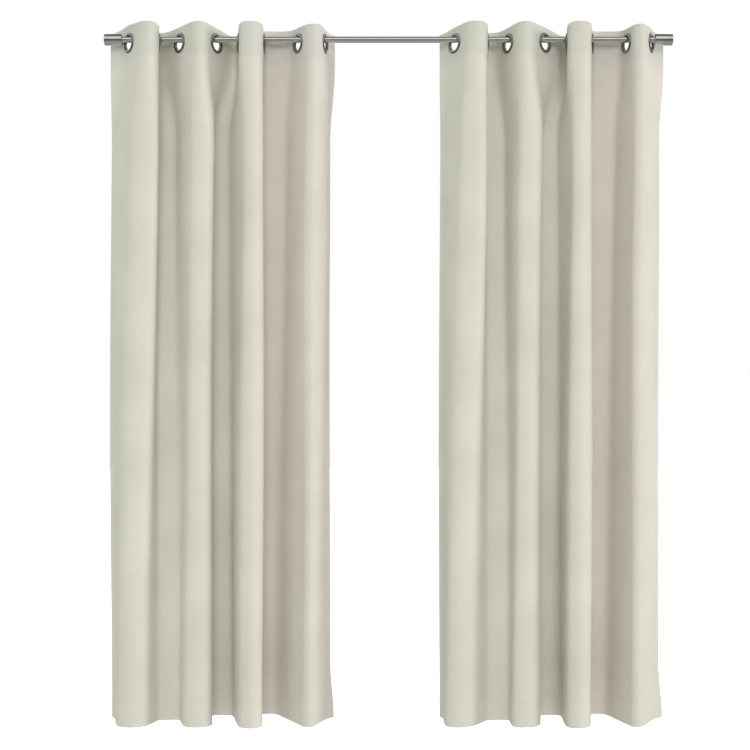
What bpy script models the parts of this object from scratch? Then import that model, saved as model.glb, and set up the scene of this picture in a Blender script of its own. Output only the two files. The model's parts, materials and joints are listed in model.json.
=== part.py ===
"""Window curtains on a rod: two eyelet panels on a 19 mm metal rod with finials and two wall brackets.

Frame: X along the rod with 0 at mid rod, Y = 0 on the wall with -Y into the room, Z = 0 at the rod's axis.
Every eyelet is a two-part ring; the rings hang on the rod and slide along it with the cloth.
"""
import bpy
import bmesh
from math import sin, cos, tan, pi, radians, sqrt
from mathutils import Matrix, Vector

# ---- driving dimensions, metres ----
ROD_OUT = 0.110            # rod axis to wall
ROD_R = 0.0095
ROD_WALL = 0.0011
ROD_HALF = 0.8325          # half length of the tube
CAP_R = 0.0173
CAP_LEN = 0.0560
CAP_INNER_X = 0.8185       # where the finial starts on the rod
CAP_SOCKET_R = 0.0098
PLUG_R = 0.0081
PLUG_LEN = 0.0260
STUD_R = 0.0030
GRUB_R = 0.0020

BRACKET_X = {"left": -0.772, "right": 0.778}
PLATE_W, PLATE_H, PLATE_T = 0.028, 0.070, 0.003
SCREW_PITCH = 0.048        # wall screw to wall screw, vertical
SCREW_HOLE_R = 0.0024
SCREW_R = 0.0021
ARM_R = 0.0050
CUP_IN_R, CUP_OUT_R, CUP_W = 0.0097, 0.0122, 0.012
THUMB_R = 0.0018

PANEL_TOP = 0.0390         # top edge above the rod axis
PANEL_BOTTOM = -2.0950
HEADER_BOTTOM = -0.0610    # header band, 100 mm deep
CLOTH_T = 0.0010
BAND_T = 0.0012
GAP = 0.0003
EYELET_R, EYELET_OUT_R = 0.0220, 0.0305
EYELET_HOLE_R = 0.0246     # hole in the cloth, hidden under the flanges
RING_STEPS = 20
FLAT = 0.0365              # the cloth stays flat this far from the middle of an eyelet

# Each eyelet: where the cloth crosses the rod (mm), the angle of the cloth there to the rod (degrees)
# and how far the middle of the eyelet sits behind the rod axis (mm).
# Odd eyelets run from the wall side into the room, even ones back again.
# Each fold between two eyelets: depth from the rod axis (mm) and the radius of its corners (mm).
FOLDS = [(60, 24), (66, 20), (60, 27), (76, 12), (58, 25), (48, 15), (56, 24)]
PANELS = {
    "left": {
        "eyelets": [(-798.0, 50.0, 0), (-709.0, 109.0, 0), (-642.1, 49.0, 0), (-529.5, 63.0, 0),
                    (-460.9, 81.6, 0), (-384.1, 92.6, 0), (-277.7, 58.4, 0), (-195.3, 78.0, 0)],
        "edges": ((0.068, 12), (0.070, 49)), "shift": 0.0, "lean": 0.0},
    "right": {
        "eyelets": [(203.4, 57.3, 0), (300.8, 93.2, 0), (367.9, 64.8, 0), (480.5, 47.2, 0),
                    (549.1, 97.6, 0), (625.9, 76.6, 0), (732.3, 74.8, 0), (805.9, 62.4, 4)],
        "edges": ((0.062, 38), (0.078, 36)),
        "shift": 1009.8, "lean": -0.2805},
}
# Where the cloth crosses under the rod at half height and at the hem, with its folds and side edges.
HALF_WAY = {"cross": [(-822.0, 48), (-719.6, 106), (-645.8, 47), (-544.3, 100),
                      (-469.0, 62), (-388.0, 99), (-296.7, 45), (-197.5, 76)],
            "folds": [(56, 22), (60, 16), (58, 24), (72, 16), (60, 24), (75, 18), (52, 22)],
            "edges": ((0.052, 40), (0.040, 60))}
HEM = {"cross": [(-839.5, 72), (-713.0, 103), (-638.0, 75), (-550.4, 103),
                 (-468.9, 78), (-388.0, 102), (-296.7, 55), (-209.0, 66)],
       "folds": [(57, 26), (22, 12), (55, 22), (76, 18), (66, 22), (90, 18), (54, 22)],
       "edges": ((0.036, 60), (0.048, 40))}
ARC_STEPS = 4


# ---- small helpers ----
def clear_scene():
    for ob in list(bpy.data.objects):
        bpy.data.objects.remove(ob, do_unlink=True)


def material(name, colour, rough, metal):
    m = bpy.data.materials.new(name)
    m.use_nodes = True
    p = m.node_tree.nodes["Principled BSDF"]
    p.inputs["Base Color"].default_value = (*colour, 1)
    p.inputs["Roughness"].default_value = rough
    p.inputs["Metallic"].default_value = metal
    m.diffuse_color = (*colour, 1)
    return m


def add(name, bm, mat, target):
    bmesh.ops.remove_doubles(bm, verts=bm.verts, dist=1e-6)
    bmesh.ops.recalc_face_normals(bm, faces=bm.faces)
    me = bpy.data.meshes.new(name)
    bm.to_mesh(me)
    bm.free()
    ob = bpy.data.objects.new(name, me)
    ob.data.materials.append(mat)
    target.objects.link(ob)
    return ob


def lathe(profile, steps, place):
    """Turn a closed (radius, height) profile about the local Z axis, then put it in place."""
    bm = bmesh.new()
    rings = []
    for r, h in profile:
        if r < 1e-7:
            rings.append([bm.verts.new(place @ Vector((0, 0, h)))])
        else:
            rings.append([bm.verts.new(place @ Vector((r * cos(2 * pi * k / steps), r * sin(2 * pi * k / steps), h)))
                          for k in range(steps)])
    on_axis = len(rings[0]) == 1
    pairs = list(zip(rings, rings[1:])) + ([] if on_axis else [(rings[-1], rings[0])])
    for a, b in pairs:
        for k in range(steps):
            n = (k + 1) % steps
            if len(a) == 1 and len(b) > 1:
                bm.faces.new((a[0], b[n], b[k]))
            elif len(b) == 1 and len(a) > 1:
                bm.faces.new((a[k], a[n], b[0]))
            elif len(a) > 1:
                bm.faces.new((a[k], a[n], b[n], b[k]))
    return bm


def block(x0, x1, y0, y1, z0, z1):
    bm = bmesh.new()
    bmesh.ops.create_cube(bm, size=1)
    for v in bm.verts:
        v.co = Vector((x0 + (v.co.x + 0.5) * (x1 - x0), y0 + (v.co.y + 0.5) * (y1 - y0),
                       z0 + (v.co.z + 0.5) * (z1 - z0)))
    return bm


def cut(ob, tool):
    tool.display_type = "WIRE"
    tool.hide_render = True
    mod = ob.modifiers.new("cut", "BOOLEAN")
    mod.operation = "DIFFERENCE"
    mod.solver = "EXACT"
    mod.object = tool


def along(axis, origin):
    """Matrix whose local Z runs along axis, from origin."""
    return Matrix.Translation(origin) @ Vector(axis).to_track_quat("Z", "X").to_matrix().to_4x4()


# ---- the plan line of the cloth, seen from above, as (x, depth into the room) in metres ----
def corner(r, depth, angle):
    """Distance along the rod from the crossing to the corner's centre, and straight length before it."""
    a = (r + (depth - r) * cos(angle)) / sin(angle)
    return a, a * cos(angle) + (depth - r) * sin(angle)


def edge_line(x, angle, way, edge):
    """From the outermost crossing back towards the wall: flat past the eyelet, then turned to the side edge."""
    length, last = edge
    xa, da = x + way * FLAT * cos(angle), -FLAT * sin(angle)
    rest, last = max(length - FLAT, 0.001), radians(last)
    return [(xa, da), (xa + way * rest * cos(last), da - rest * sin(last))]


def plan_line(cross, folds, edges, shift=0.0, lean=0.0):
    pts = []
    for i, (x, deg) in enumerate(c[:2] for c in cross):
        a = radians(deg)
        x = x / 1000
        if i == 0:
            pts += edge_line(x, a, -1, edges[0])[::-1]
        pts.append((x, 0.0))
        if i == len(folds):
            break
        side = 1 if i % 2 == 0 else -1
        xn, an = cross[i + 1][0] / 1000, radians(cross[i + 1][1])
        depth = folds[i][0] / 1000
        room = (xn - x - depth * (1 / tan(a) + 1 / tan(an))) / (tan(a / 2) + tan(an / 2))
        r = min(folds[i][1] / 1000, room)
        c1, c2 = x + corner(r, depth, a)[0], xn - corner(r, depth, an)[0]
        for k in range(ARC_STEPS):
            t = a * (1 - k / (ARC_STEPS - 1))
            pts.append((c1 - r * sin(t), side * (depth - r + r * cos(t))))
        for k in range(ARC_STEPS):
            t = an * k / (ARC_STEPS - 1)
            pts.append((c2 + r * sin(t) + 1e-5, side * (depth - r + r * cos(t))))
    pts += edge_line(cross[-1][0] / 1000, radians(cross[-1][1]), 1, edges[1])
    return [(x + shift / 1000 + lean * d, d) for x, d in pts]


def normals(pts):
    out = []
    for i in range(len(pts)):
        a, b = pts[max(i - 1, 0)], pts[min(i + 1, len(pts) - 1)]
        dx, dd = b[0] - a[0], b[1] - a[1]
        n = sqrt(dx * dx + dd * dd)
        out.append((-dd / n, dx / n))
    return out


def cloth_body(rows, front, back):
    """Closed thin solid from (z, plan line) rows; front and back are the two faces' offsets."""
    bm = bmesh.new()
    grid = {}
    for j, (z, pts) in enumerate(rows):
        for i, (p, n) in enumerate(zip(pts, normals(pts))):
            for s, off in ((0, front), (1, back)):
                grid[s, j, i] = bm.verts.new((p[0] + n[0] * off, -ROD_OUT - p[1] - n[1] * off, z))
    nj, ni = len(rows), len(rows[0][1])
    for s in (0, 1):
        for j in range(nj - 1):
            for i in range(ni - 1):
                bm.faces.new((grid[s, j, i], grid[s, j, i + 1], grid[s, j + 1, i + 1], grid[s, j + 1, i]))
    for i in range(ni - 1):
        for j in (0, nj - 1):
            bm.faces.new((grid[0, j, i], grid[0, j, i + 1], grid[1, j, i + 1], grid[1, j, i]))
    for j in range(nj - 1):
        for i in (0, ni - 1):
            bm.faces.new((grid[0, j, i], grid[0, j + 1, i], grid[1, j + 1, i], grid[1, j, i]))
    return bm


def mix(a, b, t):
    return [(p[0] * (1 - t) + q[0] * t, p[1] * (1 - t) + q[1] * t) for p, q in zip(a, b)]


def hang(angle, back):
    """How far an eyelet's centre hangs below the rod axis when its opening rests on the rod."""
    half, shift = ROD_R / sin(angle), (0.0046 * abs(cos(angle)) + back) / sin(angle)
    drop = EYELET_R - ROD_R
    while any((half * cos(t * pi / 90) + shift) ** 2 + (drop + ROD_R * sin(t * pi / 90)) ** 2
              > (EYELET_R - 0.0006) ** 2 for t in range(0, 46)):
        drop -= 0.00005
    return drop


# ---- build ----
clear_scene()
main = bpy.data.collections.new("window_curtains_on_rod")
tools = bpy.data.collections.new("cutting_tools")
bpy.context.scene.collection.children.link(main)
bpy.context.scene.collection.children.link(tools)
steel = material("satin_nickel", (0.62, 0.61, 0.59), 0.32, 1.0)
dark = material("dark_nickel", (0.20, 0.20, 0.18), 0.35, 1.0)
cloth = material("woven_cloth", (0.66, 0.65, 0.57), 0.9, 0.0)
stiff = material("header_stiffener", (0.72, 0.71, 0.66), 0.95, 0.0)

# Rod: one drawn tube, open at both ends.
add("rod_tube", lathe([(ROD_R, -ROD_HALF), (ROD_R, ROD_HALF), (ROD_R - ROD_WALL, ROD_HALF),
                       (ROD_R - ROD_WALL, -ROD_HALF)], 32, along((1, 0, 0), (0, -ROD_OUT, 0))), steel, main)

# Finials: a turned cap with two fine grooves and a domed end, a plug inside the tube, a grub screw.
SOCKET = ROD_HALF - CAP_INNER_X + GAP
for side, s in (("left", -1), ("right", 1)):
    to = along((s, 0, 0), (s * CAP_INNER_X, -ROD_OUT, 0))
    groove = 0.0007
    prof = [(CAP_SOCKET_R, 0), (CAP_R - 0.0008, 0), (CAP_R, 0.0008)]
    for h in (0.0392, 0.0462):
        prof += [(CAP_R, h), (CAP_R - groove, h + 0.0004), (CAP_R - groove, h + 0.0010), (CAP_R, h + 0.0014)]
    prof += [(CAP_R, CAP_LEN - 0.0035), (CAP_R - 0.0012, CAP_LEN - 0.0016), (CAP_R - 0.0045, CAP_LEN - 0.0006),
             (0.0075, CAP_LEN - 0.0001), (0.0, CAP_LEN)]
    prof = [(0.0, SOCKET + 0.012), (STUD_R + GAP, SOCKET + 0.012), (STUD_R + GAP, SOCKET),
            (CAP_SOCKET_R, SOCKET)] + prof
    cap = add(side + "_finial_cap", lathe(prof, 32, to), steel, main)
    bore = add(side + "_grub_bore", lathe([(0, -0.02), (GRUB_R + GAP, -0.02), (GRUB_R + GAP, -0.004), (0, -0.004)],
                                          12, Matrix.Translation((s * (CAP_INNER_X + 0.007), -ROD_OUT, 0))),
               steel, tools)
    cut(cap, bore)
    add(side + "_finial_plug", lathe([(0, ROD_HALF - PLUG_LEN), (PLUG_R, ROD_HALF - PLUG_LEN), (PLUG_R, ROD_HALF),
                                      (STUD_R, ROD_HALF), (STUD_R, ROD_HALF + 0.011), (0, ROD_HALF + 0.011)],
                                     20, along((s, 0, 0), (0, -ROD_OUT, 0))), dark, main)
    add(side + "_finial_grub_screw", lathe([(0, -0.0166), (GRUB_R, -0.0166), (GRUB_R, -ROD_R - GAP),
                                            (0, -ROD_R - GAP)], 12,
                                           Matrix.Translation((s * (CAP_INNER_X + 0.007), -ROD_OUT, 0))), dark, main)

# Wall brackets: plate, arm, U-shaped cup under the rod, thumb screw, two wall screws.
for side, s in (("left", -1), ("right", 1)):
    bx = BRACKET_X[side]
    plate = add(side + "_bracket_plate", block(bx - PLATE_W / 2, bx + PLATE_W / 2, -PLATE_T, 0,
                                               -PLATE_H / 2, PLATE_H / 2), steel, main)
    bev = plate.modifiers.new("edges", "BEVEL")
    bev.width = 0.0010
    bev.segments = 2
    for end, zs in (("top", SCREW_PITCH / 2), ("bottom", -SCREW_PITCH / 2)):
        hole = add(side + "_" + end + "_hole", lathe([(0, -0.01), (SCREW_HOLE_R, -0.01), (SCREW_HOLE_R, 0.01),
                                                      (0, 0.01)], 16, along((0, 1, 0), (bx, 0, zs))), steel, tools)
        cut(plate, hole)
        add(side + "_" + end + "_wall_screw",
            lathe([(0, GAP), (SCREW_R, GAP), (SCREW_R, PLATE_T + GAP), (0.0042, PLATE_T + GAP),
                   (0.0040, PLATE_T + 0.0014), (0.0026, PLATE_T + 0.0024), (0, PLATE_T + 0.0027)], 16,
                  along((0, -1, 0), (bx, 0, zs))), dark, main)
    arm_end = ROD_OUT - CUP_OUT_R - GAP
    add(side + "_bracket_arm",
        lathe([(0, PLATE_T + GAP), (0.0095, PLATE_T + GAP), (0.0095, 0.0055), (0.0065, 0.0085), (ARM_R, 0.012),
               (ARM_R, arm_end), (0, arm_end)], 24, along((0, -1, 0), (bx, 0, -0.004))), steel, main)
    bm = bmesh.new()
    outline = [(CUP_OUT_R, 0.002)] + [(CUP_OUT_R * cos(t * pi / 12), -CUP_OUT_R * sin(t * pi / 12)) for t in range(13)]
    outline += [(-CUP_OUT_R, 0.002), (-CUP_IN_R, 0.002)]
    outline += [(-CUP_IN_R * cos(t * pi / 12), -CUP_IN_R * sin(t * pi / 12)) for t in range(13)]
    outline += [(CUP_IN_R, 0.002)]
    ends = [[bm.verts.new((bx + w, -ROD_OUT + u, v)) for u, v in outline] for w in (-CUP_W / 2, CUP_W / 2)]
    n = len(outline)
    for k in range(n):
        bm.faces.new((ends[0][k], ends[0][(k + 1) % n], ends[1][(k + 1) % n], ends[1][k]))
    half = n // 2
    for e in ends:
        for k in range(half - 1):
            bm.faces.new((e[k], e[k + 1], e[n - 2 - k], e[n - 1 - k]))
    cup = add(side + "_bracket_cup", bm, steel, main)
    hole = add(side + "_thumb_hole", lathe([(0, -0.02), (THUMB_R + GAP, -0.02), (THUMB_R + GAP, -0.005), (0, -0.005)],
                                           12, Matrix.Translation((bx, -ROD_OUT, 0))), steel, tools)
    cut(cup, hole)
    add(side + "_bracket_thumb_screw",
        lathe([(0, -ROD_R - GAP), (THUMB_R, -ROD_R - GAP), (THUMB_R, -0.0145), (0.0046, -0.0145), (0.0052, -0.0153),
               (0.0052, -0.0205), (0.0046, -0.0213), (0, -0.0213)][::-1], 16,
              Matrix.Translation((bx, -ROD_OUT, 0))), dark, main)

# Eyelets: front half with the barrel, back half snapped over the barrel's end.
FRONT = [(0.0220, -0.0046), (0.0220, 0.0026), (0.0232, 0.0040), (0.0265, 0.0046), (0.0296, 0.0034),
         (0.0305, 0.0018), (0.0305, 0.0008), (0.0234, 0.0008), (0.0234, -0.0046)]
BACK = [(0.0237, -0.0023), (0.0305, -0.0023), (0.0305, -0.0033), (0.0294, -0.0046), (0.0265, -0.0054),
        (0.0237, -0.0049)]
for side, data in PANELS.items():
    holes = bmesh.new()
    for i, (x, deg, back) in enumerate(data["eyelets"]):
        a = radians(deg)
        way = 1 if i % 2 == 0 else -1
        axis = (-way * sin(a), -cos(a), 0)
        back = back / 1000
        at = along(axis, (x / 1000 - way * back / tan(a), -ROD_OUT + back, -hang(a, back)))
        name = "%s_eyelet_%d" % (side, i + 1)
        add(name + "_front", lathe(FRONT, RING_STEPS, at), dark, main)
        add(name + "_back", lathe(BACK, RING_STEPS, at), dark, main)
        bmesh.ops.create_cone(holes, cap_ends=True, cap_tris=False, segments=RING_STEPS, radius1=EYELET_HOLE_R,
                              radius2=EYELET_HOLE_R, depth=0.012, matrix=at)
    punch = add(side + "_punch", holes, dark, tools)
    top = plan_line(data["eyelets"], FOLDS, data["edges"])
    half = plan_line(HALF_WAY["cross"], HALF_WAY["folds"], HALF_WAY["edges"], data["shift"], data["lean"])
    hem = plan_line(HEM["cross"], HEM["folds"], HEM["edges"], data["shift"], data["lean"])
    rows = [(PANEL_TOP, top), (HEADER_BOTTOM, top), (-0.20, mix(top, half, 0.35)), (-0.45, mix(top, half, 0.75)),
            (-1.05, half), (PANEL_BOTTOM, hem)]
    panel = add(side + "_curtain_cloth", cloth_body(rows, CLOTH_T / 2, -CLOTH_T / 2), cloth, main)
    cut(panel, punch)
    face = -CLOTH_T / 2 - GAP
    band = add(side + "_header_band", cloth_body([(PANEL_TOP - 0.002, top), (HEADER_BOTTOM, top)], face,
                                                 face - BAND_T), stiff, main)
    cut(band, punch)
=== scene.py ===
"""Pair of eyelet curtains on a satin nickel rod. X runs along the rod, -Y into the room, Z up, in metres."""
import json
from math import cos, pi, radians, sin, tan

import bpy
import numpy as np
from mathutils import Matrix, Vector


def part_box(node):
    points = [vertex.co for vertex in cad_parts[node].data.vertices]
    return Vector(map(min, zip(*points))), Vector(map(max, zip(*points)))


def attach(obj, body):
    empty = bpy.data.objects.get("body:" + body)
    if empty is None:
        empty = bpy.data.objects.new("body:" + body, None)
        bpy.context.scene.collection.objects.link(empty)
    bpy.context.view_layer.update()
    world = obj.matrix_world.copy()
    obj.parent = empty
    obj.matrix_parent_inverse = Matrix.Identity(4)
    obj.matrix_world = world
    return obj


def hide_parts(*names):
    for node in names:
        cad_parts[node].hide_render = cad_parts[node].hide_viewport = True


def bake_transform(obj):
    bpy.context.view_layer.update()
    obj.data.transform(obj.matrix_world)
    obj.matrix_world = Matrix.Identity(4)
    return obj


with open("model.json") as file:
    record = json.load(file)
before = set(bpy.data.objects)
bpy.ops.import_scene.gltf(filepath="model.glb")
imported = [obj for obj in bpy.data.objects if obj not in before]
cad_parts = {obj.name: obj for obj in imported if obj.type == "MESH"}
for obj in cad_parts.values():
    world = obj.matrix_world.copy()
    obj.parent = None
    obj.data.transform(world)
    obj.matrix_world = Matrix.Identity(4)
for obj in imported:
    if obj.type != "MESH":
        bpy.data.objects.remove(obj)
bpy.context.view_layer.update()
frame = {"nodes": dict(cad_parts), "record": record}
ROD_OUT = 0.110            # rod axis to wall
BRACKETS = "rod_and_brackets"

# ---------------------------------------------------------------------------------------------
# Rod. One drawn steel tube, 19 mm across, plated in satin nickel and brushed lengthways.
# It is cut square at both ends, which the end caps hide.
# ---------------------------------------------------------------------------------------------
ROD_RADIUS, ROD_INSIDE, ROD_HALF = 0.0095, 0.0084, 0.8325


def link(obj, material=None):
    bpy.context.scene.collection.objects.link(obj)
    if material:
        obj.data.materials.clear()
        obj.data.materials.append(material)
    return obj


def turned(name, profile, place, steps, material, closed=True):
    """Turn a (radius, height) outline about local Z, put it in place and smooth it up to 35 degree edges."""
    verts, faces, rings = [], [], []
    for radius, height in profile:
        count = 1 if radius < 1e-7 else steps
        rings.append((len(verts), count))
        for k in range(count):
            angle = 2 * pi * k / steps
            verts.append(place @ Vector((radius * cos(angle), radius * sin(angle), height)))
    pairs = list(zip(rings, rings[1:]))
    if closed and rings[0][1] > 1:
        pairs.append((rings[-1], rings[0]))
    for (a, na), (b, nb) in pairs:
        for k in range(steps):
            n = (k + 1) % steps
            if na == 1 and nb > 1:
                faces.append((a, b + n, b + k))
            elif nb == 1 and na > 1:
                faces.append((a + k, a + n, b))
            elif na > 1:
                faces.append((a + k, a + n, b + n, b + k))
    mesh = bpy.data.meshes.new(name)
    mesh.from_pydata(verts, [], faces)
    volume = sum(f.area * f.normal.dot(f.center) for f in mesh.polygons)
    if volume < 0:
        mesh.flip_normals()
    mesh.shade_smooth()
    mesh.set_sharp_from_angle(angle=radians(35))
    return link(bpy.data.objects.new(name, mesh), material)


def along(axis, origin):
    return Matrix.Translation(origin) @ Vector(axis).to_track_quat("Z", "X").to_matrix().to_4x4()


def node(tree, kind, values=None, **settings):
    """A new node with its settings, and the values of those of its inputs that are named."""
    made = tree.nodes.new(kind)
    for key, value in settings.items():
        setattr(made, key, value)
    for key, value in (values or {}).items():
        made.inputs[key].default_value = value
    return made


def wire(tree, *wires):
    """Connect nodes. Each wire is (from node, output, to node, input)."""
    for start, output, end, taken in wires:
        tree.links.new(start.outputs[output], end.inputs[taken])


def brushed_group():
    """Fine lines drawn along X, with a little mottling: value 0 to 1 for roughness, height for bump."""
    tree = bpy.data.node_groups.new("brushed_lines", "ShaderNodeTree")
    tree.interface.new_socket("Vector", in_out="INPUT", socket_type="NodeSocketVector")
    for name, value in (("Line Length", 14.0), ("Line Width", 2600.0)):
        made = tree.interface.new_socket(name, in_out="INPUT", socket_type="NodeSocketFloat")
        made.default_value = value
    tree.interface.new_socket("Lines", in_out="OUTPUT", socket_type="NodeSocketFloat")
    tree.interface.new_socket("Mottle", in_out="OUTPUT", socket_type="NodeSocketFloat")
    inputs, out = node(tree, "NodeGroupInput"), node(tree, "NodeGroupOutput")
    scale = node(tree, "ShaderNodeCombineXYZ")
    wire(tree, (inputs, "Line Length", scale, "X"), (inputs, "Line Width", scale, "Y"),
               (inputs, "Line Width", scale, "Z"))
    stretch = node(tree, "ShaderNodeVectorMath", operation="MULTIPLY")
    wire(tree, (inputs, "Vector", stretch, 0), (scale, 0, stretch, 1))
    lines = node(tree, "ShaderNodeTexNoise", {"Scale": 1.0, "Detail": 3.0})
    wire(tree, (stretch, 0, lines, "Vector"))
    mottle = node(tree, "ShaderNodeTexNoise", {"Scale": 38.0, "Detail": 5.0})
    wire(tree, (inputs, "Vector", mottle, "Vector"), (lines, "Fac", out, "Lines"),
               (mottle, "Fac", out, "Mottle"))
    return tree


BRUSHED = brushed_group()


def metal(name, dark, light, rough, line_length=14.0, line_width=2600.0, bump=0.05):
    """Plated metal: colour between dark and light by mottling, roughness and relief from the brushing."""
    made = bpy.data.materials.new(name)
    made.use_nodes = True
    tree = made.node_tree
    shader = tree.nodes["Principled BSDF"]
    shader.inputs["Metallic"].default_value = 1.0
    place = node(tree, "ShaderNodeTexCoord")
    lines = node(tree, "ShaderNodeGroup", {"Line Length": line_length, "Line Width": line_width},
                 node_tree=BRUSHED)
    wire(tree, (place, "Object", lines, "Vector"))
    colour = node(tree, "ShaderNodeValToRGB")
    colour.color_ramp.elements[0].position, colour.color_ramp.elements[1].position = 0.30, 0.72
    colour.color_ramp.elements[0].color = (*dark, 1)
    colour.color_ramp.elements[1].color = (*light, 1)
    wire(tree, (lines, "Mottle", colour, "Fac"), (colour, "Color", shader, "Base Color"))
    spread = node(tree, "ShaderNodeMapRange", {"From Min": 0.3, "From Max": 0.7,
                                               "To Min": rough[0], "To Max": rough[1]})
    wire(tree, (lines, "Lines", spread, "Value"), (spread, "Result", shader, "Roughness"))
    relief = node(tree, "ShaderNodeBump", {"Strength": bump, "Distance": 0.0002})
    wire(tree, (lines, "Lines", relief, "Height"), (relief, "Normal", shader, "Normal"))
    return made


satin_nickel = metal("satin_nickel", (0.60, 0.60, 0.57), (0.70, 0.69, 0.66), (0.14, 0.24))
chamfer = 0.0004
rod = turned("rod", [(ROD_RADIUS - chamfer, -ROD_HALF), (ROD_RADIUS, chamfer - ROD_HALF),
                     (ROD_RADIUS, ROD_HALF - chamfer), (ROD_RADIUS - chamfer, ROD_HALF),
                     (ROD_INSIDE, ROD_HALF), (ROD_INSIDE, -ROD_HALF)],
             along((1, 0, 0), (0, -ROD_OUT, 0)), 72, satin_nickel)
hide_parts("rod_tube")
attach(rod, BRACKETS)

# ---------------------------------------------------------------------------------------------
# End caps. Turned from bar and plated like the rod: a plain cylinder, two fine grooves near the
# outer end and a low dome. Each slips over the rod's end and is locked by a grub screw beneath.
# ---------------------------------------------------------------------------------------------
CAP_START, CAP_LENGTH, CAP_RADIUS, CAP_BORE = 0.8185, 0.056, 0.0173, 0.0098
SOCKET_DEPTH = ROD_HALF - CAP_START + 0.0003
STUD_HOLE = 0.0033
turned_nickel = metal("turned_nickel", (0.56, 0.56, 0.53), (0.68, 0.67, 0.64), (0.12, 0.20),
                      line_length=900.0, line_width=60.0, bump=0.03)


def cap_outline():
    line = [(0.0, SOCKET_DEPTH + 0.012), (STUD_HOLE, SOCKET_DEPTH + 0.012), (STUD_HOLE, SOCKET_DEPTH),
            (CAP_BORE, SOCKET_DEPTH), (CAP_BORE, 0.0003), (CAP_BORE + 0.0003, 0.0),
            (CAP_RADIUS - 0.0009, 0.0), (CAP_RADIUS - 0.0003, 0.0003), (CAP_RADIUS, 0.0010)]
    for start in (0.0392, 0.0462):
        for k in range(7):
            angle = pi * k / 6
            line.append((CAP_RADIUS - 0.0009 * sin(angle), start + 0.0007 - 0.0007 * cos(angle)))
    shoulder = CAP_LENGTH - 0.0040
    for k in range(5):
        angle = radians(52) * k / 4
        line.append((CAP_RADIUS - 0.0022 * (1 - cos(angle)), shoulder + 0.0022 * sin(angle)))
    radius, height = line[-1]
    for k in range(1, 9):
        part = k / 8
        line.append((radius * (1 - part), height + (CAP_LENGTH - height) * sin(part * pi / 2)))
    return line


for side, s in (("left", -1), ("right", 1)):
    cap = turned(side + "_end_cap", cap_outline(), along((s, 0, 0), (s * CAP_START, -ROD_OUT, 0)), 96,
                 turned_nickel)
    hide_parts(side + "_finial_cap")
    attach(cap, BRACKETS)

# ---------------------------------------------------------------------------------------------
# Brackets and fixings. Cast plate with a turned arm and a bent cup under the rod, plated like it;
# plain steel screws. They sit behind the outermost folds, out of sight from the room.
# ---------------------------------------------------------------------------------------------
bracket_nickel = metal("bracket_nickel", (0.46, 0.46, 0.44), (0.60, 0.59, 0.57), (0.26, 0.42),
                       line_length=500.0, line_width=500.0, bump=0.04)
screw_steel = metal("screw_steel", (0.30, 0.30, 0.29), (0.44, 0.43, 0.42), (0.28, 0.45),
                    line_length=900.0, line_width=900.0, bump=0.04)
for side in ("left", "right"):
    for part, finish in (("bracket_plate", bracket_nickel), ("bracket_arm", bracket_nickel),
                         ("bracket_cup", bracket_nickel), ("bracket_thumb_screw", screw_steel),
                         ("top_wall_screw", screw_steel), ("bottom_wall_screw", screw_steel),
                         ("finial_plug", screw_steel), ("finial_grub_screw", screw_steel)):
        cad_mesh = frame["nodes"][side + "_" + part].data
        cad_mesh.materials.clear()
        cad_mesh.materials.append(finish)

# ---------------------------------------------------------------------------------------------
# Eyelets. Pressed dark nickel rings in two halves that snap together through the header: a front
# ring with a rolled lip and a barrel, and a back ring. 61 mm across with a 44 mm opening.
# ---------------------------------------------------------------------------------------------
EYELET_RADIUS, EYELET_OPENING, BARREL_RADIUS = 0.0305, 0.0220, 0.0234
# For each eyelet: where it is along the rod (mm), the cloth's angle to the rod there (degrees), and how
# far behind the rod's axis its middle is (mm).
EYELETS = {
    "left": [(-798.0, 50.0, 0), (-709.0, 109.0, 0), (-642.1, 49.0, 0), (-529.5, 63.0, 0),
             (-460.9, 81.6, 0), (-384.1, 92.6, 0), (-277.7, 58.4, 0), (-195.3, 78.0, 0)],
    "right": [(203.4, 57.3, 0), (300.8, 93.2, 0), (367.9, 64.8, 0), (480.5, 47.2, 0),
              (549.1, 97.6, 0), (625.9, 76.6, 0), (732.3, 74.8, 0), (805.9, 62.4, 4)],
}
dark_nickel = metal("dark_nickel", (0.215, 0.218, 0.195), (0.290, 0.290, 0.262), (0.20, 0.32),
                    line_length=700.0, line_width=700.0, bump=0.03)


def lip(r0, h0, r1, h1, centre_r, centre_h, steps=6):
    """Points of a rounded lip from one rim to the other, over a crown."""
    points = []
    for k in range(steps + 1):
        t = k / steps
        points.append(((1 - t) ** 2 * r0 + 2 * t * (1 - t) * centre_r + t * t * r1,
                       (1 - t) ** 2 * h0 + 2 * t * (1 - t) * centre_h + t * t * h1))
    return points


FRONT_RING = ([(EYELET_OPENING, -0.0046), (EYELET_OPENING, 0.0022)]
              + lip(0.0221, 0.0030, 0.0258, 0.0046, 0.0226, 0.0046)
              + lip(0.0270, 0.0046, EYELET_RADIUS, 0.0020, 0.0303, 0.0042)
              + [(EYELET_RADIUS, 0.0010), (0.0303, 0.0008),
                 (BARREL_RADIUS, 0.0008), (BARREL_RADIUS, -0.0046)])
BACK_RING = ([(0.0237, -0.0025), (0.0239, -0.0023), (0.0303, -0.0023), (EYELET_RADIUS, -0.0025),
              (EYELET_RADIUS, -0.0032)]
             + lip(0.0304, -0.0036, 0.0265, -0.0054, 0.0300, -0.0053)
             + lip(0.0258, -0.0054, 0.0237, -0.0044, 0.0238, -0.0053))


def ring_bodies(side):
    """The CAD body that carries each eyelet."""
    fixed = 1 if side == "left" else 8
    return [BRACKETS if i == fixed else "%s_eyelet_%d" % (side, i) for i in range(1, 9)]


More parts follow.
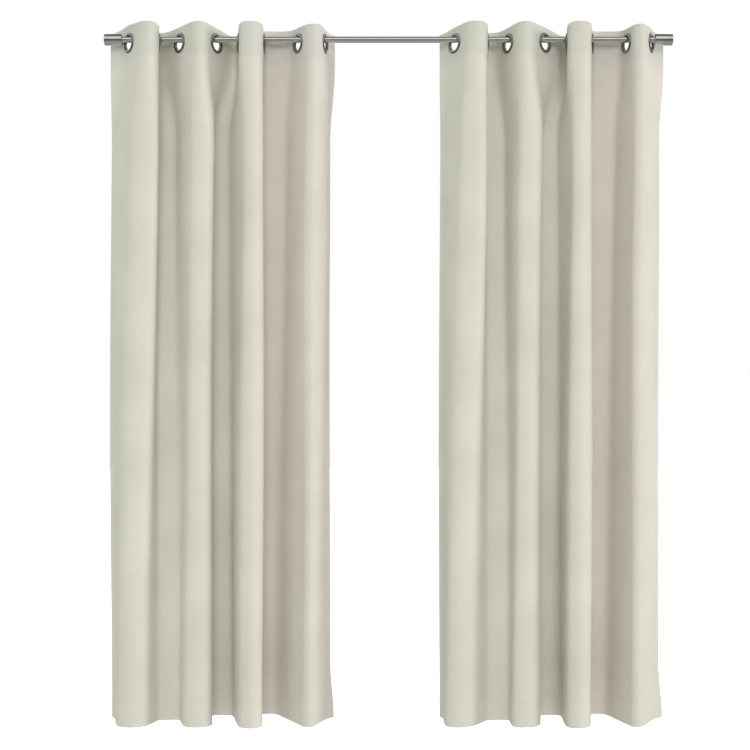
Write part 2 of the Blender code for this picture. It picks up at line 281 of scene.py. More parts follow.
def ring_axis(side, number):
    """The eyelet's axis, pointing out of the cloth's face, and its middle, from where the CAD ring is."""
    x, degrees, back = EYELETS[side][number - 1]
    angle, way = radians(degrees), (1 if number % 2 else -1)
    low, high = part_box("%s_eyelet_%d_front" % (side, number))
    middle = Vector((x / 1000 - way * back / 1000 / tan(angle), back / 1000 - ROD_OUT, (low.z + high.z) / 2))
    return Vector((-way * sin(angle), -cos(angle), 0)), middle


for side in ("left", "right"):
    for number, body in zip(range(1, 9), ring_bodies(side)):
        axis, middle = ring_axis(side, number)
        for half, outline in (("front", FRONT_RING), ("back", BACK_RING)):
            ring = turned("%s_ring_%d_%s" % (side, number, half), outline, along(axis, middle), 64,
                          dark_nickel)
            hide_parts("%s_eyelet_%d_%s" % (side, number, half))
            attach(ring, body)

# ---------------------------------------------------------------------------------------------
# Curtain panels. Each is one width of dense plain-woven polyester, 1.32 m by 2.13 m when flat.
# It hangs from its eyelets in soft vertical folds that zigzag from side to side of the rod.
# ---------------------------------------------------------------------------------------------
PANEL_TOP, PANEL_BOTTOM, HEADER_SEAM = 0.0390, -2.0985, -0.0610
HEM_SEAM = PANEL_BOTTOM + 0.075
CLOTH = 0.0010             # thickness
FLAT_ZONE = 0.0365         # the cloth is flat this far from the middle of an eyelet
CUT_RADIUS = 0.0262        # of the hole in the cloth under each ring
SECTION, MARGIN = 30, 12   # columns of cloth between two eyelets, and beyond the outermost one
# The cloth seen from above, at the rod, half way down and at the hem. cross: where it crosses the rod's line
# (mm) and its angle there (degrees). folds: how deep each fold is and the radius of its corners (mm).
# edges: how far each edge is from the outermost crossing (m) and the angle it turns to (degrees).
FOLDS = [(60, 29), (66, 20), (60, 27), (76, 12), (58, 25), (48, 15), (56, 24)]
TOP_EDGES = {"left": ((0.090, 24), (0.073, 45)), "right": ((0.071, 44), (0.088, 32))}
# Below the header the right panel has the left one's folds, moved along the rod (m) and leaning left.
SHIFT = {"left": 0.0, "right": 1.0098}
LEAN = {"left": 0.0, "right": -0.2805}
HALF_WAY = {"cross": [(-822.0, 48), (-711.5, 110), (-629.0, 56), (-537.0, 104),
                      (-468.0, 60), (-388.0, 103), (-280.0, 55), (-197.5, 76)],
            "folds": [(56, 22), (48, 16), (58, 26), (50, 16), (60, 28), (56, 16), (52, 24)],
            "edges": ((0.054, 40), (0.049, 50))}
HEM = {"cross": [(-839.5, 70), (-718.0, 68), (-637.0, 73), (-546.5, 103),
                 (-468.5, 76), (-388.0, 103), (-294.0, 55), (-209.0, 66)],
       "folds": [(57, 44), (22, 12), (55, 31), (75, 18), (65, 33), (89, 18), (54, 26)],
       "edges": ((0.061, 44), (0.059, 42))}


def smooth(t):
    """0 below 0, 1 above 1, and an even curve between."""
    t = np.clip(t, 0, 1)
    return t * t * (3 - 2 * t)


def evenly(points, count):
    """count points after the first, evenly spaced along a line of points."""
    points = np.array(points, float)
    run = np.concatenate([[0], np.cumsum(np.linalg.norm(np.diff(points, axis=0), axis=1))])
    at = np.linspace(0, run[-1], count + 1)[1:]
    return np.stack([np.interp(at, run, points[:, k]) for k in (0, 1)], axis=1)


def fold_line(cross, folds, edges, shift=0.0, lean=0.0):
    """Points (x, depth into the room) of the cloth from above: straight at crossings, round at folds."""
    rows = []
    first, last = cross[0], cross[-1]

    def margin(x, degrees, way, edge):
        angle, turned_to = radians(degrees), radians(edge[1])
        knee = (x + way * FLAT_ZONE * cos(angle), -FLAT_ZONE * sin(angle))
        line = [(x, 0.0), knee]
        for k in range(1, 9):
            bearing = angle + (turned_to - angle) * smooth(k / 6)
            step = max(edge[0] - FLAT_ZONE, 0.001) / 8
            line.append((line[-1][0] + way * step * cos(bearing), line[-1][1] - step * sin(bearing)))
        return line

    start = margin(first[0] / 1000, first[1], -1, edges[0])
    rows.append(np.array([start[-1]]))
    rows.append(evenly(start[::-1], MARGIN))
    for i, (here, after) in enumerate(zip(cross, cross[1:])):
        side = 1 if i % 2 == 0 else -1
        x, angle, xn, anglen = here[0] / 1000, radians(here[1]), after[0] / 1000, radians(after[1])
        depth, radius = folds[i][0] / 1000, folds[i][1] / 1000
        room = (xn - x - depth * (1 / tan(angle) + 1 / tan(anglen))) / (tan(angle / 2) + tan(anglen / 2))
        radius = min(radius, room)
        c1 = x + (radius + (depth - radius) * cos(angle)) / sin(angle)
        c2 = xn - (radius + (depth - radius) * cos(anglen)) / sin(anglen)
        points = [(x, 0.0)]
        points += [(c1 - radius * sin(a), side * (depth - radius + radius * cos(a)))
                   for a in np.linspace(angle, 0, 12)]
        points += [(c2 + radius * sin(a), side * (depth - radius + radius * cos(a)))
                   for a in np.linspace(0, anglen, 12)]
        points.append((xn, 0.0))
        rows.append(evenly(points, SECTION))
    rows.append(evenly(margin(last[0] / 1000, last[1], 1, edges[1]), MARGIN))
    line = np.concatenate(rows)
    line[:, 0] += shift + lean * line[:, 1]
    return line


def relaxed(line, times, keep=None):
    """The line with its bends eased, except where keep is 1."""
    out = line.copy()
    for _ in range(times):
        eased = out.copy()
        eased[1:-1] = 0.25 * out[:-2] + 0.5 * out[1:-1] + 0.25 * out[2:]
        out = eased if keep is None else eased * (1 - keep[:, None]) + out * keep[:, None]
    return out


COLUMNS = 2 * MARGIN + 7 * SECTION + 1
ring_columns = [MARGIN + k * SECTION for k in range(8)]
top_run = np.linalg.norm(np.diff(fold_line(EYELETS["left"], FOLDS, TOP_EDGES["left"]), axis=0), axis=1)
top_run = np.concatenate([[0], np.cumsum(top_run)])
from_ring = np.min([np.abs(top_run - top_run[c]) for c in ring_columns], axis=0)
near_ring = np.clip((0.0355 - from_ring) / 0.004, 0, 1)


def shares(side):
    """How much of the draw each column of cloth follows: its eyelet's share, and between two in a fold."""
    ratios = {c["joint"]: c["ratio"] for c in frame["record"]["behaviour"]["couplings"]}
    at_ring = []
    for number in range(1, 9):
        fixed, lead = (1, 8) if side == "left" else (8, 1)
        at_ring.append(0.0 if number == fixed else 1.0 if number == lead
                       else ratios["%s_eyelet_%d_slide" % (side, number)])
    share = np.zeros(COLUMNS)
    share[:MARGIN] = at_ring[0]
    share[ring_columns[-1]:] = at_ring[-1]
    for k in range(7):
        part = np.arange(SECTION) / SECTION
        t = np.clip((part - 0.21) / 0.58, 0, 1)
        t = 0.5 * t + 0.5 * smooth(t)
        share[ring_columns[k]:ring_columns[k + 1]] = at_ring[k] * (1 - t) + at_ring[k + 1] * t
    return share


def row_heights():
    """Rows of cloth from top to hem: close together in the header and at the seams, wider below."""
    header = list(np.linspace(PANEL_TOP, HEADER_SEAM + 0.004, 27))
    seam = [HEADER_SEAM + 0.0015, HEADER_SEAM, HEADER_SEAM - 0.0015]
    body = list(np.linspace(HEADER_SEAM - 0.010, HEM_SEAM + 0.008, 138))
    hem = [HEM_SEAM + 0.0015, HEM_SEAM, HEM_SEAM - 0.0015]
    below = list(np.linspace(HEM_SEAM - 0.012, PANEL_BOTTOM, 6))
    return np.array(header + seam + body + hem + below)


def hung_cloth(side, heights):
    """Points of the panel, as [row, column, xyz], and the direction out of its face."""
    top = fold_line(EYELETS[side], FOLDS, TOP_EDGES[side])
    top = relaxed(top, 10, near_ring)
    shift, lean = SHIFT[side], LEAN[side]
    half = relaxed(fold_line(HALF_WAY["cross"], HALF_WAY["folds"], HALF_WAY["edges"], shift, lean), 3)
    hem = relaxed(fold_line(HEM["cross"], HEM["folds"], HEM["edges"], shift, lean), 5)
    column = np.arange(COLUMNS)
    phase = 0.0 if side == "left" else 0.35
    grid = np.zeros((len(heights), COLUMNS, 3))
    for j, z in enumerate(heights):
        fall = max(0.0, HEADER_SEAM - z)
        from_top = 1 - float(smooth(fall / 0.24))
        to_hem = float(np.clip((-z - 0.35) / (-PANEL_BOTTOM - 0.35), 0, 1)) ** 0.85
        line = (top * from_top + half * (1 - from_top)) * (1 - to_hem) + hem * to_hem
        loose = min(1.0, fall / 0.5)
        sway = 0.0022 * np.sin(column * 0.061 + 2.1 * z + phase) + 0.0013 * np.sin(column * 0.137 - 3.7 * z)
        grid[j, :, 0] = line[:, 0] + loose * sway
        grid[j, :, 1] = -ROD_OUT - line[:, 1] - loose * 0.0016 * np.sin(column * 0.19 + 1.3 * z + 1.0)
        grid[j, :, 2] = z
    # the leading corner of the hem kicks out a little
    corner = np.clip((column - ring_columns[-1]) / MARGIN, 0, 1) ** 2
    grid[:, :, 0] += 0.010 * corner[None, :] * smooth((-1.93 - heights) / 0.165)[:, None]
    # the stiff header stands up at the front of each fold, and sinks where the cloth turns back to the rod
    run = relaxed(np.gradient(top, axis=0), 3)
    facing = np.abs(run[:, 0]) / np.linalg.norm(run, axis=1)
    part = (column - MARGIN) / SECTION
    sink = 0.0088 * (1 - facing) ** 1.8 - 0.0018 * np.sqrt(np.clip(top[:, 1] / 0.06, 0, 1))
    sink += 0.0075 * np.exp(-((part - 6.5) / 0.33) ** 2) + 0.0085 * np.exp(-((part - 3.5) / 0.3) ** 2)
    sink += 0.0085 * smooth(-part / 0.4) + 0.0085 * smooth((part - 7.0) / 0.4)
    if side == "left":          # held up by the end cap behind it
        sink -= 0.0070 * np.exp(-((part + 0.05) / 0.28) ** 2)
    sink = relaxed(np.stack([sink, sink], axis=1), 6)[:, 0]
    fade = 1 - smooth((HEADER_SEAM - heights) / 0.35)
    grid[:, :, 2] -= fade[:, None] * sink[None, :]
    across = np.gradient(grid, axis=1)
    down = np.gradient(grid, axis=0)
    face = np.cross(down, across)
    face /= np.linalg.norm(face, axis=2, keepdims=True)
    if face[:, :, 1].mean() > 0:
        face = -face
    return grid, face


def creases(side, heights):
    """Relief of the cloth's face: pulls under the header, a shallow groove along each seam, slack below."""
    column = np.arange(COLUMNS)[None, :]
    z = heights[:, None]
    below = np.clip((HEADER_SEAM - z) / 0.3, 0, 1)
    rng = np.random.default_rng(3 if side == "left" else 8)
    relief = np.zeros((len(heights), COLUMNS))
    for _ in range(9):
        wide, tall = rng.uniform(0.05, 0.16), rng.uniform(1.5, 5.0)
        wave = np.sin(column * wide * 2 + z * tall * rng.choice([-1, 1]) + rng.uniform(0, 6.3))
        relief += 0.00035 * wave * below
    pull = np.exp(-((z - HEADER_SEAM + 0.06) / 0.07) ** 2)
    relief += 0.0007 * pull * np.sin((column - MARGIN) * 2 * pi / SECTION * 2 + 0.6)
    relief *= 1 - near_ring[None, :] * (z > HEADER_SEAM)
    relief -= 0.0006 * np.exp(-((z - HEADER_SEAM) / 0.0014) ** 2)
    relief += 0.0005 * smooth((HEM_SEAM - z) / 0.004) - 0.0006 * np.exp(-((z - HEM_SEAM) / 0.0016) ** 2)
    for c in (5, COLUMNS - 6):      # just inside each side hem
        relief -= 0.00045 * np.exp(-((column - c) / 0.8) ** 2)
    return relief


def cloth_mesh(name, grid, face, front, back, centres, heights):
    """A closed thin cloth, holed at each eyelet; front and back are its faces' distances off the grid."""
    rows, columns = grid.shape[:2]
    keep = np.ones((rows - 1, columns - 1), bool)
    middle = (grid[:-1, :-1] + grid[1:, :-1] + grid[:-1, 1:] + grid[1:, 1:]) / 4
    moved = grid.copy()
    reach = 12              # columns either side of an eyelet that its hole may touch
    for c, (at, _) in zip(ring_columns, centres):
        near = np.abs(np.arange(columns - 1) - c) < reach
        far = np.linalg.norm(middle - np.array(at), axis=2)
        keep &= ~((far < CUT_RADIUS) & near[None, :])
    used = np.zeros((rows, columns), int)
    for dj in (0, 1):
        for di in (0, 1):
            used[dj:rows - 1 + dj, di:columns - 1 + di] += keep
    for c, (at, axis) in zip(ring_columns, centres):
        axis = np.array(axis)
        for j in range(rows):
            for i in range(c - reach, c + reach + 1):
                away = grid[j, i] - np.array(at)
                if 0 < used[j, i] < 4 and np.linalg.norm(away) < CUT_RADIUS + 0.006 and 0 < j:
                    flat = away - axis * away.dot(axis)
                    rim = flat / np.linalg.norm(flat) * CUT_RADIUS
                    moved[j, i] = np.array(at) + rim + axis * away.dot(axis)
    index = -np.ones((rows, columns), int)
    index[used > 0] = np.arange((used > 0).sum())
    count = (used > 0).sum()
    points = np.concatenate([(moved + face * front)[used > 0], (moved + face * back)[used > 0]])
    faces = []
    edge_count = {}
    for j, i in zip(*np.nonzero(keep)):
        loop = (index[j, i], index[j + 1, i], index[j + 1, i + 1], index[j, i + 1])
        faces.append(loop)
        for a, b in zip(loop, loop[1:] + loop[:1]):
            edge_count.setdefault((min(a, b), max(a, b)), []).append((a, b))
    sheet_faces = list(faces)
    faces += [tuple(v + count for v in reversed(f)) for f in sheet_faces]
    for uses in edge_count.values():
        if len(uses) == 1:
            a, b = uses[0]
            faces.append((b, a, a + count, b + count))
    mesh = bpy.data.meshes.new(name)
    mesh.from_pydata([tuple(p) for p in points], [], faces)
    if sum(f.area * f.normal.dot(f.center) for f in mesh.polygons) < 0:
        mesh.flip_normals()
    steps = np.linalg.norm(np.diff(grid, axis=1), axis=2)
    run = np.concatenate([np.zeros((rows, 1)), np.cumsum(steps, axis=1)], axis=1)
    uv = np.stack([np.broadcast_to(run.mean(axis=0)[None, :], (rows, columns)),
                   np.broadcast_to(heights[:, None], (rows, columns))], axis=2)[used > 0]
    uv = np.concatenate([uv, uv])
    layer = mesh.uv_layers.new(name="cloth_uv")
    loops = np.zeros(len(mesh.loops), int)
    mesh.loops.foreach_get("vertex_index", loops)
    layer.data.foreach_set("uv", uv[loops].reshape(-1).astype(np.float32))
    mesh.shade_smooth()
    mesh.set_sharp_from_angle(angle=radians(60))
    columns_of = np.broadcast_to(np.arange(columns)[None, :], (rows, columns))[used > 0]
    return mesh, np.concatenate([columns_of, columns_of])


def draw_with(obj, share):
    """Bakes the piece's placement into its mesh; the cloth is not made to follow the draw."""
    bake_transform(obj)


def weave_group():
    """Plain weave on metres of cloth: thread relief, slubs along both threads, slightly uneven dye, a
    painted colour cast and painted header shade.
    """
    tree = bpy.data.node_groups.new("plain_weave", "ShaderNodeTree")
    tree.interface.new_socket("Vector", in_out="INPUT", socket_type="NodeSocketVector")
    made = tree.interface.new_socket("Threads", in_out="INPUT", socket_type="NodeSocketFloat")
    made.default_value = 1900.0
    for name in ("Relief", "Slub", "Dye", "Painted Header Shade"):
        tree.interface.new_socket(name, in_out="OUTPUT", socket_type="NodeSocketFloat")
    tree.interface.new_socket("Painted Cast", in_out="OUTPUT", socket_type="NodeSocketColor")
    inputs, out = node(tree, "NodeGroupInput"), node(tree, "NodeGroupOutput")
    split = node(tree, "ShaderNodeSeparateXYZ")
    wire(tree, (inputs, "Vector", split, 0))
    waves = []
    for axis in ("X", "Y"):
        count = node(tree, "ShaderNodeMath", operation="MULTIPLY")
        wire(tree, (split, axis, count, 0), (inputs, "Threads", count, 1))
        turn = node(tree, "ShaderNodeMath", {1: pi}, operation="MULTIPLY")
        wire(tree, (count, 0, turn, 0))
        wave = node(tree, "ShaderNodeMath", operation="SINE")
        wire(tree, (turn, 0, wave, 0))
        waves.append(wave)
    relief = node(tree, "ShaderNodeMath", operation="MULTIPLY")
    wire(tree, (waves[0], 0, relief, 0), (waves[1], 0, relief, 1))
    slubs = []
    for stretch in ((900.0, 26.0, 1.0), (11.0, 420.0, 1.0)):
        pulled = node(tree, "ShaderNodeVectorMath", {1: stretch}, operation="MULTIPLY")
        wire(tree, (inputs, "Vector", pulled, 0))
        noise = node(tree, "ShaderNodeTexNoise", {"Scale": 1.0, "Detail": 2.0})
        wire(tree, (pulled, 0, noise, "Vector"))
        slubs.append(noise)
    both = node(tree, "ShaderNodeMath", operation="ADD")
    wire(tree, (slubs[0], "Fac", both, 0), (slubs[1], "Fac", both, 1))
    mean = node(tree, "ShaderNodeMath", {1: 0.5}, operation="MULTIPLY")
    wire(tree, (both, 0, mean, 0))
    dye = node(tree, "ShaderNodeTexNoise", {"Scale": 5.0, "Detail": 3.0})
    wire(tree, (inputs, "Vector", dye, "Vector"))
    # painted colour cast of the light: greener at the left edge of each panel, turning pinker towards its
    # right
    painted_cast = node(tree, "ShaderNodeValToRGB")
    stops = painted_cast.color_ramp.elements
    stops[0].position, stops[0].color = 0.05, (0.955, 1.000, 0.975, 1)
    stops[1].position, stops[1].color = 1.0, (1.000, 0.972, 1.010, 1)
    for where, tint in ((0.14, (1.0, 0.996, 1.0, 1)), (0.62, (0.995, 0.988, 1.0, 1))):
        stop = stops.new(where)
        stop.color = tint
    wire(tree, (split, "X", painted_cast, "Fac"), (painted_cast, "Color", out, "Painted Cast"))
    # painted shade mask: 1 on the header above its seam, 0 on the body below
    painted_header_mask = node(tree, "ShaderNodeMapRange", {"From Min": -0.075, "From Max": -0.045},
                  interpolation_type="SMOOTHSTEP")
    wire(tree, (split, "Y", painted_header_mask, "Value"), (painted_header_mask, "Result", out, "Painted Header Shade"), (relief, 0, out, "Relief"),
               (mean, 0, out, "Slub"), (dye, "Fac", out, "Dye"))
    return tree


WEAVE = weave_group()


def woven(name, dark, light, threads=1900.0, relief_depth=0.00012):
    """Dense matt cloth on the piece's own cloth_uv, in metres."""
    made = bpy.data.materials.new(name)
    made.use_nodes = True
    tree = made.node_tree
    shader = tree.nodes["Principled BSDF"]
    shader.inputs["Specular IOR Level"].default_value = 0.25
    shader.inputs["Sheen Weight"].default_value = 0.18
    shader.inputs["Sheen Roughness"].default_value = 0.45
    place = node(tree, "ShaderNodeUVMap", uv_map="cloth_uv")
    weave = node(tree, "ShaderNodeGroup", {"Threads": threads}, node_tree=WEAVE)
    wire(tree, (place, "UV", weave, "Vector"))
    colour = node(tree, "ShaderNodeValToRGB")
    colour.color_ramp.elements[0].position, colour.color_ramp.elements[1].position = 0.30, 0.70
    colour.color_ramp.elements[0].color = (*dark, 1)
    colour.color_ramp.elements[1].color = (*light, 1)
    blend = node(tree, "ShaderNodeMix", {0: 0.6}, data_type="FLOAT")
    wire(tree, (weave, "Slub", blend, 2), (weave, "Dye", blend, 3), (blend, 0, colour, "Fac"))
    # the cloth's colour times the painted colour cast
    with_painted_cast = node(tree, "ShaderNodeMix", {0: 1.0}, data_type="RGBA", blend_type="MULTIPLY")
    wire(tree, (colour, "Color", with_painted_cast, 6), (weave, "Painted Cast", with_painted_cast, 7))
    # painted shade: the header above its seam coloured darker and cooler than the body, as if less light
    # came through it
    with_header_shade = node(tree, "ShaderNodeMix", {7: (0.925, 0.955, 0.965, 1)}, data_type="RGBA",
                  blend_type="MULTIPLY")
    wire(tree, (weave, "Painted Header Shade", with_header_shade, 0), (with_painted_cast, 2, with_header_shade, 6), (with_header_shade, 2, shader, "Base Color"))
    rough = node(tree, "ShaderNodeMapRange", {"From Min": 0.3, "From Max": 0.7,
                                              "To Min": 0.82, "To Max": 0.95})
    wire(tree, (weave, "Slub", rough, "Value"), (rough, "Result", shader, "Roughness"))
    threads_bump = node(tree, "ShaderNodeBump", {"Strength": 0.35, "Distance": relief_depth})
    wire(tree, (weave, "Relief", threads_bump, "Height"))
    slub_bump = node(tree, "ShaderNodeBump", {"Strength": 0.5, "Distance": 0.0003})
    wire(tree, (weave, "Slub", slub_bump, "Height"), (threads_bump, "Normal", slub_bump, "Normal"),
               (slub_bump, "Normal", shader, "Normal"))
    return made


curtain_cloth = woven("curtain_cloth", (0.560, 0.548, 0.466), (0.645, 0.632, 0.541))
HEIGHTS = row_heights()
hung = {}
for side in ("left", "right"):
    grid, face = hung_cloth(side, HEIGHTS)
    centres = [ring_axis(side, number)[::-1] for number in range(1, 9)]
    shaped = grid + face * creases(side, HEIGHTS)[:, :, None]
    mesh, columns_of = cloth_mesh(side + "_curtain_panel", shaped, face, CLOTH / 2, -CLOTH / 2, centres,
                                  HEIGHTS)
    panel = link(bpy.data.objects.new(side + "_curtain_panel", mesh), curtain_cloth)
    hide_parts(side + "_curtain_cloth")
    draw_with(panel, shares(side)[columns_of])
    hung[side] = {"grid": shaped, "face": face, "centres": centres, "panel": panel, "share": shares(side)}

# ---------------------------------------------------------------------------------------------
# Header facings. The top 100 mm of each panel is turned to the back over a stiff non-woven band
# and stitched down below the eyelets, so the back of the header is the same cloth.
# ---------------------------------------------------------------------------------------------
for side in ("left", "right"):
    cloth = hung[side]
    header_rows = HEIGHTS >= HEADER_SEAM - 1e-6
    mesh, columns_of = cloth_mesh(side + "_header_facing", cloth["grid"][header_rows],
                                  cloth["face"][header_rows], -CLOTH / 2 - 0.0002, -CLOTH / 2 - 0.0014,
                                  cloth["centres"], HEIGHTS[header_rows])
    facing = link(bpy.data.objects.new(side + "_header_facing", mesh), curtain_cloth)
    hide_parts(side + "_header_band")
    draw_with(facing, cloth["share"][columns_of])
    cloth["facing"] = facing

# ---------------------------------------------------------------------------------------------
# Hems. The bottom 75 mm and about 20 mm down each side are turned to the back and stitched flat.
# They are the panel's own cloth, so they show as a second thickness behind and a line in front.
# ---------------------------------------------------------------------------------------------
TURNED = (-CLOTH / 2 - 0.0002, -CLOTH / 2 - 0.0010)     # front and back of the turned layer, from mid cloth
SIDE_HEM = 4                                            # columns
for side in ("left", "right"):
    cloth = hung[side]
    grid, face, share = cloth["grid"], cloth["face"], cloth["share"]
    below = HEIGHTS <= HEM_SEAM + 1e-6
    between = (HEIGHTS < HEADER_SEAM - 0.003) & (HEIGHTS > HEM_SEAM + 0.003)
    cloth["hems"] = []
    at_left, at_right = ("wall_hem", "leading_hem") if side == "left" else ("leading_hem", "wall_hem")
    for name, rows, columns in (("bottom_hem", below, slice(0, COLUMNS)),
                                (at_right, between, slice(COLUMNS - 1 - SIDE_HEM, COLUMNS)),
                                (at_left, between, slice(0, SIDE_HEM + 1))):
        mesh, columns_of = cloth_mesh("%s_%s" % (side, name), grid[rows][:, columns],
                                      face[rows][:, columns], *TURNED, [], HEIGHTS[rows])
        hem = link(bpy.data.objects.new("%s_%s" % (side, name), mesh), curtain_cloth)
        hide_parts(side + "_curtain_cloth")
        draw_with(hem, share[columns][columns_of])
        cloth["hems"].append(hem)

# ---------------------------------------------------------------------------------------------
# Stitching. Matching polyester thread, 0.4 mm thick, a lockstitch every 3.2 mm: one line below
# the eyelets, one at the top of the bottom hem and one down the inner edge of each side hem.
# ---------------------------------------------------------------------------------------------
THREAD, STITCH, PITCH = 0.0002, 0.0024, 0.0032          # radius, visible length, spacing
thread = woven("sewing_thread", (0.540, 0.527, 0.447), (0.600, 0.587, 0.500), threads=5200.0,
               relief_depth=0.00005)


def one_stitch():
    """A short thread, humped where it comes up through the cloth and goes down again, lying along X."""
    verts, faces, sides = [], [], 6
    rings = ((-1.0, -0.8, 0.75), (-0.72, 0.25, 1.0), (0.0, 0.75, 1.0), (0.72, 0.25, 1.0), (1.0, -0.8, 0.75))
    for x, rise, radius in rings:
        for k in range(sides):
            angle = 2 * pi * k / sides
            verts.append((x * STITCH / 2, radius * THREAD * cos(angle),
                          THREAD * (rise + radius * sin(angle))))
    for ring in range(4):
        for k in range(sides):
            n = (k + 1) % sides
            here, after = ring * sides, (ring + 1) * sides
            faces.append((here + k, after + k, after + n, here + n))
    faces += [tuple(range(sides)), tuple(range(5 * sides - 1, 4 * sides - 1, -1))]
    mesh = bpy.data.meshes.new("one_stitch")
    mesh.from_pydata(verts, [], faces)
    if sum(f.area * f.normal.dot(f.center) for f in mesh.polygons) < 0:
        mesh.flip_normals()
    mesh.shade_smooth()
    return bpy.data.objects.new("one_stitch", mesh)


def stitching_nodes():
    """A line of points with a normal each becomes a row of stitches lying on the cloth."""
    tree = bpy.data.node_groups.new("stitch_line", "GeometryNodeTree")
    for name, kind in (("Geometry", "NodeSocketGeometry"), ("Stitch", "NodeSocketObject"),
                       ("Pitch", "NodeSocketFloat"), ("Thread", "NodeSocketMaterial")):
        tree.interface.new_socket(name, in_out="INPUT", socket_type=kind)
    tree.interface.new_socket("Geometry", in_out="OUTPUT", socket_type="NodeSocketGeometry")
    inputs, out = node(tree, "NodeGroupInput"), node(tree, "NodeGroupOutput")
    outward = node(tree, "GeometryNodeInputNamedAttribute", {"Name": "outward"}, data_type="FLOAT_VECTOR")
    curve = node(tree, "GeometryNodeMeshToCurve")
    spaced = node(tree, "GeometryNodeResampleCurve")
    spaced.mode = "LENGTH"
    lay = node(tree, "FunctionNodeAlignRotationToVector", axis="Z")
    turn = node(tree, "FunctionNodeAlignRotationToVector", axis="X", pivot_axis="Z")
    tangent = node(tree, "GeometryNodeInputTangent")
    info = node(tree, "GeometryNodeObjectInfo")
    put = node(tree, "GeometryNodeInstanceOnPoints")
    real = node(tree, "GeometryNodeRealizeInstances")
    finish = node(tree, "GeometryNodeSetMaterial")
    wire(tree, (inputs, "Geometry", curve, "Mesh"), (curve, "Curve", spaced, "Curve"),
         (inputs, "Pitch", spaced, "Length"), (spaced, "Curve", put, "Points"),
         (inputs, "Stitch", info, "Object"), (info, "Geometry", put, "Instance"),
         (outward, "Attribute", lay, "Vector"),
         (lay, "Rotation", turn, "Rotation"), (tangent, "Tangent", turn, "Vector"),
         (turn, "Rotation", put, "Rotation"), (put, "Instances", real, "Geometry"),
         (real, "Geometry", finish, "Geometry"), (inputs, "Thread", finish, "Material"),
         (finish, "Geometry", out, "Geometry"))
    return tree


def stitched(name, lines, stitch, tree):
    """Rows of stitches along lines of (points, outward directions), as one plain mesh."""
    base = bpy.data.meshes.new(name + "_lines")
    points, edges, outward = [], [], []
    for line, out in lines:
        edges += [(len(points) + k, len(points) + k + 1) for k in range(len(line) - 1)]
        points += [tuple(p) for p in line]
        outward += list(out)
    base.from_pydata(points, edges, [])
    normals = base.attributes.new("outward", "FLOAT_VECTOR", "POINT")
    normals.data.foreach_set("vector", np.array(outward).reshape(-1))
    guide = link(bpy.data.objects.new(name + "_guide", base))
    fill = guide.modifiers.new("stitches", "NODES")
    fill.node_group = tree
    sockets = {i.name: i.identifier for i in tree.interface.items_tree if i.in_out == "INPUT"}
    fill[sockets["Stitch"]], fill[sockets["Pitch"]], fill[sockets["Thread"]] = stitch, PITCH, thread
    bpy.context.view_layer.update()
    mesh = bpy.data.meshes.new_from_object(guide.evaluated_get(bpy.context.evaluated_depsgraph_get()))
    bpy.data.objects.remove(guide)
    co = np.zeros(len(mesh.vertices) * 3)
    mesh.vertices.foreach_get("co", co)
    loops = np.zeros(len(mesh.loops), int)
    mesh.loops.foreach_get("vertex_index", loops)
    co = co.reshape(-1, 3)
    for layer in list(mesh.uv_layers):
        mesh.uv_layers.remove(layer)
    layer = mesh.uv_layers.new(name="cloth_uv")
    layer.data.foreach_set("uv", co[loops][:, [0, 2]].reshape(-1).astype(np.float32))
    return link(bpy.data.objects.new(name, mesh), thread), co


stitch, stitch_tree = link(one_stitch(), thread), stitching_nodes()
for side in ("left", "right"):
    cloth = hung[side]
    grid, face, share = cloth["grid"], cloth["face"], cloth["share"]
    on_face = grid + face * (CLOTH / 2 + THREAD * 0.3)
    header_row = int(np.argmin(np.abs(HEIGHTS - HEADER_SEAM)))
    hem_row = int(np.argmin(np.abs(HEIGHTS - HEM_SEAM)))
    lines = [(on_face[row, 1:-1], face[row, 1:-1]) for row in (header_row, hem_row)]
    lines += [(on_face[header_row + 2:hem_row - 1, c], face[header_row + 2:hem_row - 1, c])
              for c in (SIDE_HEM, COLUMNS - 1 - SIDE_HEM)]
    seams, co = stitched(side + "_stitching", lines, stitch, stitch_tree)
    rows_of = np.abs(co[:, 2][:, None] - grid[:, 0, 2][None, :]).argmin(axis=1)
    followed = np.zeros(len(co))
    for j in np.unique(rows_of):
        pick = rows_of == j
        flat = grid[j, :, :2]
        away = np.linalg.norm(co[pick][:, None, :2] - flat[None], axis=2)
        near = np.argsort(away, axis=1)[:, :2]
        gap = np.take_along_axis(away, near, axis=1)
        weight = gap[:, ::-1] / np.maximum(gap.sum(axis=1, keepdims=True), 1e-9)
        followed[pick] = (share[near] * weight).sum(axis=1)
    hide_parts(side + "_curtain_cloth")
    draw_with(seams, followed)
    cloth["seams"] = seams
bpy.data.objects.remove(stitch)

# ---------------------------------------------------------------------------------------------
# Each panel's pieces, taken in turn; nothing more is done with them here.
# ---------------------------------------------------------------------------------------------
for side in ("left", "right"):
    cloth = hung[side]

# ---------------------------------------------------------------------------------------------
# Studio: a pale floor below the hems, an even white room, a broad fill by the camera, a weak one from
# the left, one for the backs, and one soft light low from the right, which picks out the right side
# of every fold.
# ---------------------------------------------------------------------------------------------
floor_mesh = bpy.data.meshes.new("floor")
floor_mesh.from_pydata([(-9, -7, 0), (9, -7, 0), (9, 11, 0), (-9, 11, 0)], [], [(0, 1, 2, 3)])
floor_mesh.transform(Matrix.Translation((0, 0, PANEL_BOTTOM - 0.12)))
paint = bpy.data.materials.new("floor_paint")
paint.use_nodes = True
painted = paint.node_tree.nodes["Principled BSDF"]
painted.inputs["Base Color"].default_value = (0.95, 0.95, 0.945, 1)
painted.inputs["Roughness"].default_value = 0.9
painted.inputs["Emission Color"].default_value = (1, 1, 1, 1)
painted.inputs["Emission Strength"].default_value = 0.85
floor = link(bpy.data.objects.new("floor", floor_mesh), paint)
floor.visible_glossy = False
floor.visible_diffuse = False

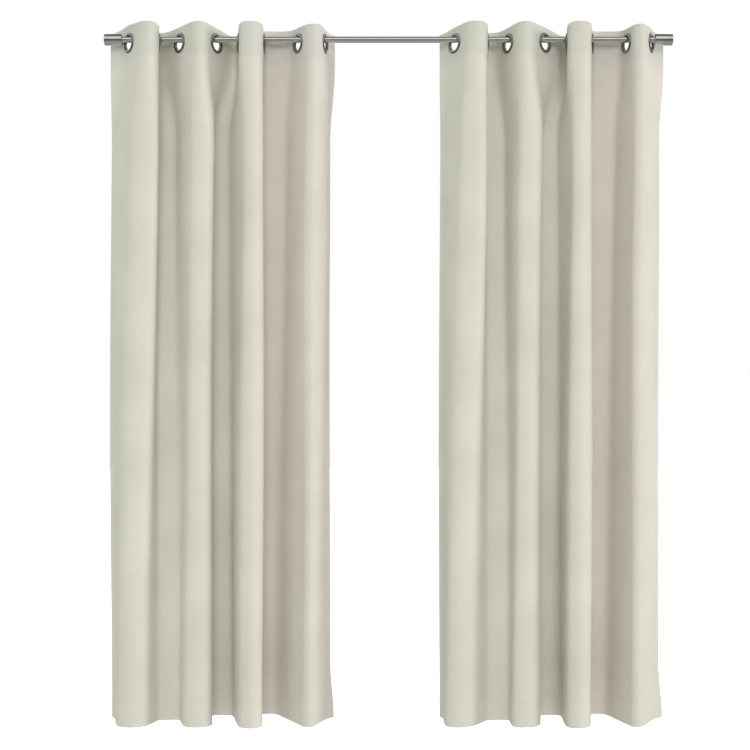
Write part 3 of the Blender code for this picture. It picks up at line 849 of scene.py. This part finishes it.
world = bpy.data.worlds.new("studio")
bpy.context.scene.world = world
world.use_nodes = True
tree = world.node_tree
even = tree.nodes["Background"]
even.inputs["Color"].default_value = (1.0, 1.0, 0.985, 1)
even.inputs["Strength"].default_value = 0.67
white = node(tree, "ShaderNodeBackground", {"Color": (1, 1, 1, 1)})
banded = node(tree, "ShaderNodeBackground", {"Strength": 1.0})
direction = node(tree, "ShaderNodeTexCoord")
height = node(tree, "ShaderNodeSeparateXYZ")
unit = node(tree, "ShaderNodeMapRange", {"From Min": -1.0})
bands = node(tree, "ShaderNodeValToRGB")     # what the metal mirrors, from the floor up to the ceiling
wire(tree, (direction, "Generated", height, 0), (height, "Z", unit, "Value"), (unit, "Result", bands, "Fac"))
stops = bands.color_ramp.elements
stops[0].position, stops[0].color = 0.0, (0.42, 0.42, 0.41, 1)
stops[1].position, stops[1].color = 1.0, (0.10, 0.10, 0.10, 1)
for where, level in ((0.10, 0.50), (0.20, 0.24), (0.40, 0.13), (0.50, 0.20), (0.56, 0.62), (0.62, 1.15),
                     (0.84, 1.05), (0.93, 0.30)):
    stop = stops.new(where)
    stop.color = (level, level, level, 1)
wire(tree, (bands, "Color", banded, "Color"))
path = node(tree, "ShaderNodeLightPath")
shiny, final = node(tree, "ShaderNodeMixShader"), node(tree, "ShaderNodeMixShader")
wire(tree, (path, "Is Glossy Ray", shiny, "Fac"), (even, 0, shiny, 1), (banded, 0, shiny, 2),
           (path, "Is Camera Ray", final, "Fac"), (shiny, 0, final, 1), (white, 0, final, 2),
           (final, 0, tree.nodes["World Output"], "Surface"))


def far_light(name, azimuth, elevation, strength, spread, colour):
    """A light far off. azimuth is from the camera's side, positive to the right; all angles in degrees."""
    lamp = bpy.data.lights.new(name, "SUN")
    lamp.energy, lamp.angle, lamp.color = strength, radians(spread), colour
    obj = bpy.data.objects.new(name, lamp)
    towards = Vector((sin(radians(azimuth)) * cos(radians(elevation)),
                      -cos(radians(azimuth)) * cos(radians(elevation)), sin(radians(elevation))))
    obj.rotation_euler = towards.to_track_quat("Z", "Y").to_euler()
    obj.visible_glossy = False
    bpy.context.scene.collection.objects.link(obj)
    return obj


far_light("fill_by_camera", 5, 6, 1.23, 26, (1.0, 1.0, 0.985))
far_light("fill_from_left", -48, 14, 0.22, 30, (0.97, 1.0, 0.96))
far_light("key_from_right", 83, 10, 1.26, 15, (1.0, 0.99, 0.965))
far_light("fill_from_behind", 165, 20, 2.3, 60, (1.0, 1.0, 1.0))

camera_data = bpy.data.cameras.new("camera")
camera_data.lens, camera_data.sensor_width = 56.2, 36.0
camera = bpy.data.objects.new("camera", camera_data)
camera.location = (-0.0415, -ROD_OUT - 3.6, -1.031)
camera.rotation_euler = (pi / 2, 0, 0)
bpy.context.scene.collection.objects.link(camera)
bpy.context.scene.camera = camera
bpy.context.scene.view_settings.view_transform = "Standard"
